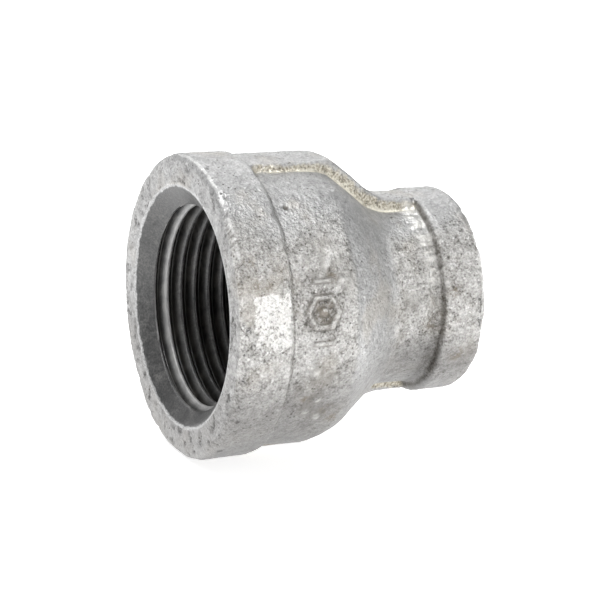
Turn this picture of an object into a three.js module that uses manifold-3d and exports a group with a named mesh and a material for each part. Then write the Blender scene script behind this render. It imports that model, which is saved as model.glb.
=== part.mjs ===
// Concentric reducing coupling, 1 in by 1/2 in, with a female taper pipe thread in each end.
// It is one galvanised malleable iron casting: a plain band round each mouth, a shoulder that
// steps the large socket down to the small one, and a cast rib along the top and the bottom.
// Millimetres. X runs along the bore with the large mouth at -X, the ribs stand at +Z and -Z,
// and the origin is on the bore axis half way between the two end faces. While the casting is
// being built, x is counted from the large face.
import * as THREE from "three";
import { mergeVertices } from "three/addons/utils/BufferGeometryUtils.js";
import Module from "manifold-3d";

// Driving dimensions. The two threads set the diameters: each mouth, band, body and wall is
// counted outwards from its own thread.
const TOTAL_LENGTH = 42.9;

const LARGE_THREAD = {
  pitch: 25.4 / 11.5,
  pitchDiameterAtFace: 31.46,
  depth: 1.45,
  crestFlat: 0.35,
  length: 15.4,
  stepsPerTurn: 32,
  startAngle: 120,
};
const SMALL_THREAD = {
  pitch: 25.4 / 14,
  pitchDiameterAtFace: 19.77,
  depth: 1.15,
  crestFlat: 0.3,
  length: 12.6,
  stepsPerTurn: 28,
  startAngle: 0,
};
const THREAD_TAPER = 1 / 32; // fall of the thread's radius per unit of depth
const THREAD_FLANK_ANGLE = 30; // degrees between a flank and the plane across the bore
const COUNTERSINK_ANGLE = 50; // degrees between the countersink's wall and the bore axis

const LARGE_MOUTH_MARGIN = 2.17; // from the thread's pitch radius at the face to the mouth's edge
const LARGE_BAND_WALL = 4.7; // from the mouth's edge to the outside of the band
const LARGE_BAND_WIDTH = 8.2;
const LARGE_BAND_STEP = 1.25; // from the outside of the band down to the body
const LARGE_RIM_ROUND = 1.35;
const LARGE_WALL = 4.15; // round the cored chamber

const SMALL_MOUTH_MARGIN = 1.315;
const SMALL_BAND_WALL = 4.25;
const SMALL_BAND_WIDTH = 6.9;
const SMALL_BAND_STEP = 1.65;
const SMALL_RIM_ROUND = 1.6;
const NECK_WALL = 2.8;

const BAND_DRAFT = 0.05; // how far a band's radius falls from its face to its inner edge
const BAND_EDGE_ROUND = 0.7;

const SHOULDER_START = 16.2; // from the large face to where the outside begins to fall
const SHOULDER_ANGLE = 38.5; // degrees between the shoulder's slope and the bore axis
const SHOULDER_ROUND = 9;
const SHOULDER_WALL = 3.2; // measured square to the slope
const NECK_ROUND = 6;
const CHAMBER_ROUND = 6;

const RIB_BELOW_LARGE_BAND = 0.35; // fall from each band's edge to the rib's crest beside it
const RIB_BELOW_SMALL_BAND = 0.1;
const RIB_LARGE_WIDTH = 7.8;
const RIB_SMALL_WIDTH = 5.6;
const RIB_SHOULDER_LEAD = 3.2; // how far past the body's shoulder the rib's own shoulder starts
const RIB_SHOULDER_ROUND = 6;

const GATE_ANGLE = 12.3; // degrees from -Y towards +Z
const GATE_FLAT_DEPTH = 0.4;

const MARK_PROUD = 0.35;
const MARK_ANGLE = 13; // degrees from -Y towards +Z
const MARK_RADIUS = 2.9;
const MARK_LINE = 0.8;
const MARK_CLEARANCE = 2.1; // between the large band and the hexagon mark

const OUTER_SEGMENTS = 56;
const SHOULDER_ARC_STEPS = 4;
const ROUND_STEPS = 3;
const CUT_PAST = 2; // how far a cutter runs past the surface that it opens

const largeMouthRadius = LARGE_THREAD.pitchDiameterAtFace / 2 + LARGE_MOUTH_MARGIN;
const largeBandRadius = largeMouthRadius + LARGE_BAND_WALL;
const largeEdgeRadius = largeBandRadius - BAND_DRAFT;
const largeBodyRadius = largeBandRadius - LARGE_BAND_STEP;
const largeChamberRadius = largeBodyRadius - LARGE_WALL;

const smallMouthRadius = SMALL_THREAD.pitchDiameterAtFace / 2 + SMALL_MOUTH_MARGIN;
const smallBandRadius = smallMouthRadius + SMALL_BAND_WALL;
const smallEdgeRadius = smallBandRadius - BAND_DRAFT;
const neckRadius = smallBandRadius - SMALL_BAND_STEP;
const smallChamberRadius = neckRadius - NECK_WALL;

const shoulderSlope = THREE.MathUtils.degToRad(SHOULDER_ANGLE);

const wasm = await Module();
wasm.setup();

// A closed three.js geometry as a manifold-3d solid.
function solidFrom(geometry) {
  const bare = geometry.index ? geometry.toNonIndexed() : geometry.clone();
  bare.deleteAttribute("normal");
  bare.deleteAttribute("uv");
  const merged = mergeVertices(bare, 1e-4);
  const mesh = new wasm.Mesh({
    numProp: 3,
    vertProperties: new Float32Array(merged.attributes.position.array),
    triVerts: new Uint32Array(merged.index.array),
  });
  return new wasm.Manifold(mesh);
}

// A manifold-3d solid as a three.js geometry with flat faces.
function geometryFrom(solid) {
  const mesh = solid.getMesh();
  const indexed = new THREE.BufferGeometry();
  indexed.setAttribute("position", new THREE.BufferAttribute(mesh.vertProperties, 3));
  indexed.setIndex(new THREE.BufferAttribute(mesh.triVerts, 1));
  const geometry = indexed.toNonIndexed();
  geometry.computeVertexNormals();
  return geometry;
}

// Points [x, radius] along an arc in the lathe plane; angles in degrees, 0 along +X, 90 outwards.
function arc(centreX, centreRadius, radius, fromAngle, toAngle, steps) {
  const points = [];
  for (let i = 0; i <= steps; i += 1) {
    const angle = THREE.MathUtils.degToRad(fromAngle + ((toAngle - fromAngle) * i) / steps);
    points.push([centreX + radius * Math.cos(angle), centreRadius + radius * Math.sin(angle)]);
  }
  return points;
}

// The solid of revolution about X of an outline [x, radius] that starts and ends on the axis.
function turned(outline, segments) {
  const points = outline.map(([x, radius]) => new THREE.Vector2(radius, x));
  const geometry = new THREE.LatheGeometry(points, segments);
  geometry.rotateZ(-Math.PI / 2);
  return solidFrom(geometry);
}

// The stretch of an outline that falls from a large radius to a small one: a round, a straight
// slope at the shoulder's angle, and a round the other way.
function shoulderOutline(start, largeRadius, largeRound, smallRadius, smallRound) {
  const fallOfRound = 1 - Math.cos(shoulderSlope);
  const slopeStartX = start + largeRound * Math.sin(shoulderSlope);
  const slopeStartRadius = largeRadius - largeRound * fallOfRound;
  const slopeEndRadius = smallRadius + smallRound * fallOfRound;
  const slopeEndX = slopeStartX + (slopeStartRadius - slopeEndRadius) / Math.tan(shoulderSlope);
  const end = slopeEndX + smallRound * Math.sin(shoulderSlope);
  return [
    ...arc(start, largeRadius - largeRound, largeRound, 90, 90 - SHOULDER_ANGLE, SHOULDER_ARC_STEPS),
    ...arc(end, smallRadius + smallRound, smallRound, 270 - SHOULDER_ANGLE, 270, SHOULDER_ARC_STEPS),
  ];
}

// The outside of the casting without its ribs: bands, large body, shoulder and neck.
function outerShell() {
  const smallBandStart = TOTAL_LENGTH - SMALL_BAND_WIDTH;
  const outline = [
    [0, 0],
    ...arc(LARGE_RIM_ROUND, largeBandRadius - LARGE_RIM_ROUND, LARGE_RIM_ROUND, 180, 90, ROUND_STEPS),
    ...arc(
      LARGE_BAND_WIDTH - BAND_EDGE_ROUND,
      largeEdgeRadius - BAND_EDGE_ROUND,
      BAND_EDGE_ROUND,
      90,
      0,
      ROUND_STEPS - 1,
    ),
    [LARGE_BAND_WIDTH + BAND_EDGE_ROUND / 2, largeBodyRadius],
    ...shoulderOutline(SHOULDER_START, largeBodyRadius, SHOULDER_ROUND, neckRadius, NECK_ROUND),
    [smallBandStart - BAND_EDGE_ROUND / 2, neckRadius],
    ...arc(
      smallBandStart + BAND_EDGE_ROUND,
      smallEdgeRadius - BAND_EDGE_ROUND,
      BAND_EDGE_ROUND,
      180,
      90,
      ROUND_STEPS - 1,
    ),
    ...arc(
      TOTAL_LENGTH - SMALL_RIM_ROUND,
      smallBandRadius - SMALL_RIM_ROUND,
      SMALL_RIM_ROUND,
      90,
      0,
      ROUND_STEPS,
    ),
    [TOTAL_LENGTH, 0],
  ];
  return turned(outline, OUTER_SEGMENTS);
}

// Both cast ribs as one blade through the axis, from inside one band to inside the other. Its
// plan tapers with the fitting. Its crest lies just below each band, and its own shoulder stands
// further along than the body's, so the rib is tallest on the slope.
function ribBlade() {
  const bladeStart = LARGE_BAND_WIDTH / 2;
  const bladeEnd = TOTAL_LENGTH - SMALL_BAND_WIDTH / 2;
  const crestStart = SHOULDER_START + RIB_SHOULDER_LEAD;
  const largeCrest = largeEdgeRadius - RIB_BELOW_LARGE_BAND;
  const smallCrest = smallEdgeRadius - RIB_BELOW_SMALL_BAND;
  const crest = turned(
    [
      [bladeStart, 0],
      [bladeStart, largeCrest],
      ...shoulderOutline(crestStart, largeCrest, RIB_SHOULDER_ROUND, smallCrest, NECK_ROUND),
      [bladeEnd, smallCrest],
      [bladeEnd, 0],
    ],
    OUTER_SEGMENTS,
  );
  const plan = new THREE.Shape([
    new THREE.Vector2(bladeStart - 1, -RIB_LARGE_WIDTH / 2),
    new THREE.Vector2(bladeEnd + 1, -RIB_SMALL_WIDTH / 2),
    new THREE.Vector2(bladeEnd + 1, RIB_SMALL_WIDTH / 2),
    new THREE.Vector2(bladeStart - 1, RIB_LARGE_WIDTH / 2),
  ]);
  const height = 2 * largeBandRadius + CUT_PAST;
  const slab = new THREE.ExtrudeGeometry(plan, { depth: height, bevelEnabled: false });
  slab.translate(0, 0, -height / 2);
  return crest.intersect(solidFrom(slab));
}

// Radii of a thread at a depth from its own face.
function minorRadius(thread, depth) {
  return (thread.pitchDiameterAtFace - thread.depth) / 2 - depth * THREAD_TAPER;
}

function majorRadius(thread, depth) {
  return minorRadius(thread, depth) + thread.depth;
}

// A socket's countersink and tapered bore. direction is +1 when the socket runs from its face
// towards +X and -1 when it runs towards -X.
function socketBore(thread, mouthRadius, faceX, direction) {
  const flare = Math.tan(THREE.MathUtils.degToRad(COUNTERSINK_ANGLE));
  const sinkDepth = (mouthRadius - minorRadius(thread, 0)) / (flare - THREAD_TAPER);
  const boreEnd = thread.length + CUT_PAST / 2;
  const outline = [
    [-CUT_PAST, 0],
    [-CUT_PAST, mouthRadius + CUT_PAST * flare],
    [sinkDepth, minorRadius(thread, sinkDepth)],
    [boreEnd, minorRadius(thread, boreEnd)],
    [boreEnd, 0],
  ].map(([depth, radius]) => [faceX + direction * depth, radius]);
  if (direction < 0) outline.reverse();
  return turned(outline, thread.stepsPerTurn);
}

// The helical groove that a tap cuts, as one swept ring of sections with a cap at each end. It
// starts in front of the mouth and ends in the chamber, so it opens at both ends of the bore.
function threadGroove(thread, faceX, direction) {
  const step = (2 * Math.PI) / thread.stepsPerTurn;
  const flank = Math.tan(THREE.MathUtils.degToRad(THREAD_FLANK_ANGLE));
  const mouthHalf = (thread.pitch - thread.crestFlat) / 2;
  const rootHalf = mouthHalf - thread.depth * flank;
  const lip = thread.crestFlat / 4; // the flanks run this far inside the bore before the sides square up
  const section = [
    [-mouthHalf - lip * flank, -lip],
    [-rootHalf, thread.depth],
    [rootHalf, thread.depth],
    [mouthHalf + lip * flank, -lip],
    [mouthHalf + lip * flank, -thread.depth],
    [-mouthHalf - lip * flank, -thread.depth],
  ];
  const firstX = faceX + (direction > 0 ? -thread.pitch : -thread.length - thread.pitch / 2);
  const turns = (thread.length + 1.5 * thread.pitch) / thread.pitch;
  const steps = Math.round(turns * thread.stepsPerTurn);
  const startStep = Math.round((thread.startAngle / 360) * thread.stepsPerTurn);
  const positions = [];
  for (let i = 0; i <= steps; i += 1) {
    const angle = (startStep + i) * step;
    const centreX = firstX + (i / thread.stepsPerTurn) * thread.pitch;
    const bore = minorRadius(thread, (centreX - faceX) * direction);
    for (const [alongX, outward] of section) {
      const radius = bore + outward;
      positions.push(centreX + alongX, -radius * Math.sin(angle), radius * Math.cos(angle));
    }
  }
  const corners = section.length;
  const indices = [];
  for (let i = 0; i < steps; i += 1) {
    for (let j = 0; j < corners; j += 1) {
      const a = i * corners + j;
      const b = i * corners + ((j + 1) % corners);
      indices.push(a, b + corners, b, a, a + corners, b + corners);
    }
  }
  const last = steps * corners;
  for (let j = 1; j < corners - 1; j += 1) {
    indices.push(0, j, j + 1);
    indices.push(last, last + j + 1, last + j);
  }
  const geometry = new THREE.BufferGeometry();
  geometry.setAttribute("position", new THREE.Float32BufferAttribute(positions, 3));
  geometry.setIndex(indices);
  return solidFrom(geometry);
}

// The cored space between the two sockets, wider than each thread where it meets it.
function chamber() {
  const start = LARGE_THREAD.length;
  const end = TOTAL_LENGTH - SMALL_THREAD.length;
  const halfSlope = Math.tan(shoulderSlope / 2);
  const outerCornerX = SHOULDER_START + SHOULDER_ROUND * halfSlope;
  const spareWall = LARGE_WALL - SHOULDER_WALL / Math.cos(shoulderSlope);
  const innerCornerX = outerCornerX + spareWall / Math.tan(shoulderSlope);
  const slopeStart = innerCornerX - CHAMBER_ROUND * halfSlope;
  return turned(
    [
      [start, 0],
      [start, largeChamberRadius],
      ...shoulderOutline(
        slopeStart,
        largeChamberRadius,
        CHAMBER_ROUND,
        smallChamberRadius,
        CHAMBER_ROUND,
      ),
      [end, smallChamberRadius],
      [end, 0],
    ],
    LARGE_THREAD.stepsPerTurn,
  );
}

// Turns a geometry built with +Z as its outward direction to face outwards at an angle about
// the bore axis, counted from -Y towards +Z, and moves it along X.
function faceOutwards(geometry, angle, x) {
  geometry.rotateX(Math.PI / 2 - THREE.MathUtils.degToRad(angle));
  geometry.translate(x, 0, 0);
  return geometry;
}

// The block that grinds a flat on the large band where the gate was broken off.
function gateCutter() {
  const start = LARGE_RIM_ROUND;
  const end = LARGE_BAND_WIDTH - BAND_EDGE_ROUND;
  const height = 2 * CUT_PAST;
  const block = new THREE.BoxGeometry(end - start, largeBandRadius, height);
  block.translate(0, 0, largeBandRadius - GATE_FLAT_DEPTH + height / 2);
  return solidFrom(faceOutwards(block, GATE_ANGLE, (start + end) / 2));
}

// A flat shape in the X-Y plane as a prism that runs from inside the wall to outside it.
function markPrism(shape, angle, x) {
  const foot = largeBodyRadius - LARGE_WALL / 2;
  const prism = new THREE.ExtrudeGeometry(shape, { depth: LARGE_WALL + CUT_PAST, bevelEnabled: false });
  prism.translate(0, 0, foot);
  return solidFrom(faceOutwards(prism, angle, x));
}

function polygonPoints(sides, radius) {
  const points = [];
  for (let i = 0; i < sides; i += 1) {
    const angle = (2 * Math.PI * i) / sides;
    points.push(new THREE.Vector2(radius * Math.cos(angle), radius * Math.sin(angle)));
  }
  return points;
}

// The raised foundry mark on the large body: a hexagon outline round a pip, with a bar to either
// side of it round the body.
function castMark() {
  const x = LARGE_BAND_WIDTH + MARK_CLEARANCE + MARK_RADIUS;
  const hexagon = new THREE.Shape(polygonPoints(6, MARK_RADIUS));
  hexagon.holes.push(new THREE.Path(polygonPoints(6, MARK_RADIUS - MARK_LINE).reverse()));
  const pip = new THREE.Shape(polygonPoints(6, MARK_LINE));
  const bar = new THREE.Shape([
    new THREE.Vector2(-MARK_RADIUS / 2, -MARK_LINE / 2),
    new THREE.Vector2(MARK_RADIUS / 2, -MARK_LINE / 2),
    new THREE.Vector2(MARK_RADIUS / 2, MARK_LINE / 2),
    new THREE.Vector2(-MARK_RADIUS / 2, MARK_LINE / 2),
  ]);
  const barSpacing = THREE.MathUtils.radToDeg((MARK_RADIUS + 2 * MARK_LINE) / largeBodyRadius);
  const raised = markPrism(hexagon, MARK_ANGLE, x)
    .add(markPrism(pip, MARK_ANGLE, x))
    .add(markPrism(bar, MARK_ANGLE + barSpacing, x))
    .add(markPrism(bar, MARK_ANGLE - barSpacing, x));
  const crest = largeBodyRadius + MARK_PROUD;
  const envelope = turned(
    [
      [LARGE_BAND_WIDTH, 0],
      [LARGE_BAND_WIDTH, crest],
      ...shoulderOutline(SHOULDER_START, crest, SHOULDER_ROUND, neckRadius, NECK_ROUND),
      [TOTAL_LENGTH - SMALL_BAND_WIDTH, 0],
    ],
    OUTER_SEGMENTS,
  );
  return raised.intersect(envelope);
}

function casting() {
  const solid = outerShell().add(ribBlade()).subtract(gateCutter()).add(castMark());
  return solid
    .subtract(chamber())
    .subtract(socketBore(LARGE_THREAD, largeMouthRadius, 0, 1))
    .subtract(socketBore(SMALL_THREAD, smallMouthRadius, TOTAL_LENGTH, -1))
    .subtract(threadGroove(LARGE_THREAD, 0, 1))
    .subtract(threadGroove(SMALL_THREAD, TOTAL_LENGTH, -1));
}

const galvanisedIron = new THREE.MeshStandardMaterial({
  color: 0xa6a7a5,
  roughness: 0.55,
  metalness: 0.6,
});

const reducerBody = new THREE.Mesh(geometryFrom(casting()), galvanisedIron);
reducerBody.name = "reducer_body";
reducerBody.position.x = -TOTAL_LENGTH / 2;

const reducer = new THREE.Group();
reducer.add(reducerBody);

export default reducer;
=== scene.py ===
"""Looks of a 1 in by 1/2 in reducing coupling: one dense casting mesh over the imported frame, its procedural
materials, a pale floor, soft light and the camera.

Lengths are in millimetres until a mesh or an object is made. x runs along the bore from the large face, and
angles run round the bore from -Y (0) over +Z (a quarter turn) to +Y.
"""
import math

import bpy
import numpy as np
from mathutils import Matrix, Vector


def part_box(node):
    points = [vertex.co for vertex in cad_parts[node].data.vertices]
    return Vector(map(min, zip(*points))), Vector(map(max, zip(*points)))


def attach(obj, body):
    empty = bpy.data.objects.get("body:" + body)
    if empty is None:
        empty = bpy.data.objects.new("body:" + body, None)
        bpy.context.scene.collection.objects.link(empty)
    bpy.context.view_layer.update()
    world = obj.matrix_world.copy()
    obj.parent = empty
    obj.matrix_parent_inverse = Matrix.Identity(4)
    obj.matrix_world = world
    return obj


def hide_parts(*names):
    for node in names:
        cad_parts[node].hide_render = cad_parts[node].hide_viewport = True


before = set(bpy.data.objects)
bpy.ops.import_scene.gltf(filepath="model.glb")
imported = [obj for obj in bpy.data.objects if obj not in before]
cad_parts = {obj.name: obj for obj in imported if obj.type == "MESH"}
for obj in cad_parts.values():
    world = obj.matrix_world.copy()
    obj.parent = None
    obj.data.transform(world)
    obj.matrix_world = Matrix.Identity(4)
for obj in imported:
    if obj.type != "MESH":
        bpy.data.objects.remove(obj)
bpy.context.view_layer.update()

MM = 0.001
TAU = 2 * math.pi

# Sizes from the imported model's box.
BOX_LOW, BOX_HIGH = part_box("reducer_body")
LENGTH = (BOX_HIGH.x - BOX_LOW.x) / MM
LARGE_BAND_RADIUS = BOX_HIGH.z / MM
FLOOR_Z = BOX_LOW.z

# The casting's other sizes.
LARGE_PITCH_RADIUS = 31.46 / 2
SMALL_PITCH_RADIUS = 19.77 / 2
LARGE_MOUTH_RADIUS = LARGE_PITCH_RADIUS + 2.17
SMALL_MOUTH_RADIUS = SMALL_PITCH_RADIUS + 1.315
SMALL_BAND_RADIUS = SMALL_MOUTH_RADIUS + 4.25
BAND_DRAFT = 0.05
LARGE_EDGE_RADIUS = LARGE_BAND_RADIUS - BAND_DRAFT
SMALL_EDGE_RADIUS = SMALL_BAND_RADIUS - BAND_DRAFT
BODY_RADIUS = LARGE_BAND_RADIUS - 1.25
NECK_RADIUS = SMALL_BAND_RADIUS - 1.65
CHAMBER_LARGE_RADIUS = BODY_RADIUS - 4.15
CHAMBER_SMALL_RADIUS = NECK_RADIUS - 2.8
LARGE_BAND_WIDTH = 8.2
SMALL_BAND_WIDTH = 6.9
SMALL_STEP_X = LENGTH - SMALL_BAND_WIDTH
LARGE_RIM_ROUND = 1.35
SMALL_RIM_ROUND = 1.6
LARGE_EDGE_ROUND = 0.7
SMALL_EDGE_ROUND = 0.9
SHOULDER_START = 16.2
SHOULDER_SLOPE = math.radians(38.5)
SHOULDER_ROUND = 9.0
SHOULDER_WALL = 3.2
NECK_ROUND = 6.0
CHAMBER_ROUND = 6.0
RIB_LARGE_CREST = LARGE_EDGE_RADIUS - 0.35
RIB_SMALL_CREST = SMALL_EDGE_RADIUS - 0.1
RIB_LARGE_HALF = 3.9
RIB_SMALL_HALF = 2.8
RIB_SHOULDER_LEAD = 3.2
RIB_SHOULDER_ROUND = 6.0
RIB_SIDE_ANGLE = math.radians(10.6)
COUNTERSINK_FLARE = math.tan(math.radians(50))
THREAD_TAPER = 1 / 32
FLANK_SLOPE = math.tan(math.radians(60))
SMALL_THREAD_LENGTH = 12.6

# The helical walls: their full turns, and how far inside each face they begin.
THREAD_TURNS = 6
LARGE_WALL_START = 0.55
SMALL_WALL_START = 0.35

# The gate flat, the raised mark and the sand hole.
GATE_ANGLE = math.radians(12.3)
GATE_FLAT_DEPTH = 0.4
MARK_ANGLE = math.radians(13)
MARK_RADIUS = 2.9
MARK_LINE = 0.8
MARK_CLEARANCE = 2.1
MARK_X = LARGE_BAND_WIDTH + MARK_CLEARANCE + MARK_RADIUS
SAND_HOLE_X = LARGE_BAND_WIDTH + 2.4
SAND_HOLE_ANGLE = math.radians(57)

# Heights and depths of the cast skin's details.
MARK_HEIGHT = 0.4
DRIP_HEIGHT = 0.34
CHIP_DEPTH = 0.16
SAND_HOLE_DEPTH = 0.35
SKIN_ALLOWANCE = 0.05

# Mesh density.
INNER_COLUMNS = 150
COLUMN_RATIO = 3
OUTER_COLUMNS = INNER_COLUMNS * COLUMN_RATIO
OUTER_ROW_STEP = 0.44
CLOSE_ROW_RATIO = 1.6


class Thread:
    """A right-hand taper thread and the samples that its wall takes across one pitch."""

    def __init__(self, pitch, pitch_radius, depth, crest):
        self.pitch = pitch
        self.depth = depth
        self.crest = crest
        self.face_minor = pitch_radius - depth / 2

    def minor(self, depth_in):
        return self.face_minor - depth_in * THREAD_TAPER

    def groove(self, share):
        """Depth of the groove below the crest at a share of the pitch, 0 at the middle of a crest."""
        from_crest = np.abs((share + 0.5) % 1 - 0.5) * self.pitch - self.crest / 2
        flank = from_crest * FLANK_SLOPE
        rounding = 0.07
        soft = 0.5 * (flank + np.sqrt(flank * flank + rounding * rounding))
        rest = self.depth - soft
        return self.depth - 0.5 * (rest + np.sqrt(rest * rest + rounding * rounding))

    def samples(self):
        """Shares of the pitch where rows lie, closest together at the crest's two edges."""
        edge = self.crest / 2 / self.pitch
        bevel = 0.025
        rising = [edge - bevel, edge + bevel, 0.2, 0.3, 0.4, 0.5]
        falling = [1 - share for share in rising[-2::-1]]
        return [0.0] + rising + falling


LARGE_THREAD = Thread(25.4 / 11.5, LARGE_PITCH_RADIUS, 1.45, 0.35)
SMALL_THREAD = Thread(25.4 / 14, SMALL_PITCH_RADIUS, 1.15, 0.3)

# Where the middle of a crest crosses the angle 0, from the large face.
LARGE_CREST_X = 0.406 * LARGE_THREAD.pitch
SMALL_CREST_X = LENGTH - SMALL_THREAD_LENGTH + SMALL_THREAD.pitch / 4


# ---------------------------------------------------------------------------------------------------------
# Noise and profile helpers
# ---------------------------------------------------------------------------------------------------------


def lumps(points, cell, seed):
    """Smooth noise from -1 to 1 at points (n, 3), with lumps about one cell across."""
    size = 32
    table = np.random.default_rng(seed).uniform(-1, 1, (size, size, size))
    grid = points / cell
    base = np.floor(grid).astype(int)
    share = grid - base
    share = share * share * (3 - 2 * share)
    total = np.zeros(len(points))
    for corner in range(8):
        offset = np.array([corner & 1, corner >> 1 & 1, corner >> 2 & 1])
        weight = np.prod(np.where(offset, share, 1 - share), axis=1)
        at = (base + offset) % size
        total += weight * table[at[:, 0], at[:, 1], at[:, 2]]
    return total


def smooth(value, low, high):
    """0 below low, 1 above high, and a smooth rise between."""
    t = np.clip((value - low) / (high - low), 0, 1)
    return t * t * (3 - 2 * t)


def bell(value, reach):
    """1 at zero, with a smooth fall to nothing a few reaches away on either side."""
    return np.exp(-((value / reach) ** 2))


def place_on(x, radius, angle):
    """Points at cylindrical places along and round the bore."""
    return np.stack([x, -radius * np.cos(angle), radius * np.sin(angle)], axis=1)


def arc(centre_x, centre_r, radius, start, end, steps=12):
    """Points (x, radius) on an arc in a plane through the axis, from one angle to another in degrees."""
    angles = np.radians(np.linspace(start, end, steps))
    return [(centre_x + radius * math.cos(a), centre_r + radius * math.sin(a)) for a in angles]


def shoulder(start, large_radius, large_round, small_radius, small_round):
    """An outline's fall from a large radius to a small one: a round, a straight slope, and a round back."""
    fall = 1 - math.cos(SHOULDER_SLOPE)
    slope_x = start + large_round * math.sin(SHOULDER_SLOPE)
    drop = large_radius - large_round * fall - small_radius - small_round * fall
    end = slope_x + drop / math.tan(SHOULDER_SLOPE) + small_round * math.sin(SHOULDER_SLOPE)
    degrees = math.degrees(SHOULDER_SLOPE)
    first = arc(start, large_radius - large_round, large_round, 90, 90 - degrees)
    second = arc(end, small_radius + small_round, small_round, 270 - degrees, 270)
    return first + second


def outer_outline():
    """The casting's outside from the large mouth's edge to the small mouth's edge, without the ribs."""
    large_edge = (LARGE_BAND_WIDTH - LARGE_EDGE_ROUND, LARGE_EDGE_RADIUS - LARGE_EDGE_ROUND)
    small_edge = (SMALL_STEP_X + SMALL_EDGE_ROUND, SMALL_EDGE_RADIUS - SMALL_EDGE_ROUND)
    return (
        [(0, LARGE_MOUTH_RADIUS + 0.45)]
        + arc(LARGE_RIM_ROUND, LARGE_BAND_RADIUS - LARGE_RIM_ROUND, LARGE_RIM_ROUND, 180, 90)
        + arc(*large_edge, LARGE_EDGE_ROUND, 90, 15)
        + [(LARGE_BAND_WIDTH + 0.35, BODY_RADIUS + 0.12)]
        + [(LARGE_BAND_WIDTH + 0.9, BODY_RADIUS)]
        + shoulder(SHOULDER_START, BODY_RADIUS, SHOULDER_ROUND, NECK_RADIUS, NECK_ROUND)
        + [(SMALL_STEP_X - 0.6, NECK_RADIUS)]
        + [(SMALL_STEP_X - 0.1, NECK_RADIUS + 0.25)]
        + arc(*small_edge, SMALL_EDGE_ROUND, 160, 90)
        + arc(LENGTH - SMALL_RIM_ROUND, SMALL_BAND_RADIUS - SMALL_RIM_ROUND, SMALL_RIM_ROUND, 90, 0)
        + [(LENGTH, SMALL_MOUTH_RADIUS + 0.2)]
    )


def resampled(outline, step, close_spans):
    """Points along an outline about a step apart, and closer where x lies in one of the spans."""
    points = np.array(outline)
    lengths = np.hypot(*np.diff(points, axis=0).T)
    along = np.concatenate([[0], np.cumsum(lengths)])
    fine = np.linspace(0, along[-1], 4000)
    x = np.interp(fine, along, points[:, 0])
    r = np.interp(fine, along, points[:, 1])
    density = np.full(len(fine), 1 / step)
    for low, high in close_spans:
        density[(x > low) & (x < high)] *= CLOSE_ROW_RATIO
    count = np.concatenate([[0], np.cumsum(density[1:] * np.diff(fine))])
    rows = int(round(count[-1]))
    at = np.interp(np.linspace(0, count[-1], rows + 1), count, fine)
    return np.stack([np.interp(at, fine, x), np.interp(at, fine, r)], axis=1)


def column_angles():
    """Angles round the bore for the outer columns: closest along the ribs' sides, then on the front."""
    fine = np.linspace(0, TAU, 7201)
    density = np.full(len(fine), 1.0)
    for rib in (TAU / 4, 3 * TAU / 4):
        for side in (-1, 1):
            density += 2.2 * bell(fine - rib - side * RIB_SIDE_ANGLE, math.radians(2.0))
    front = np.cos(fine - MARK_ANGLE)
    density += 0.7 * smooth(front, 0.3, 0.8)
    count = np.concatenate([[0], np.cumsum((density[1:] + density[:-1]) / 2)])
    return np.interp(np.arange(OUTER_COLUMNS) * count[-1] / OUTER_COLUMNS, count, fine)


# ---------------------------------------------------------------------------------------------------------
# The mesh
# ---------------------------------------------------------------------------------------------------------


# Material slots of the shell's faces.
CAST = 0
MACHINED = 1
CORED = 2


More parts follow.
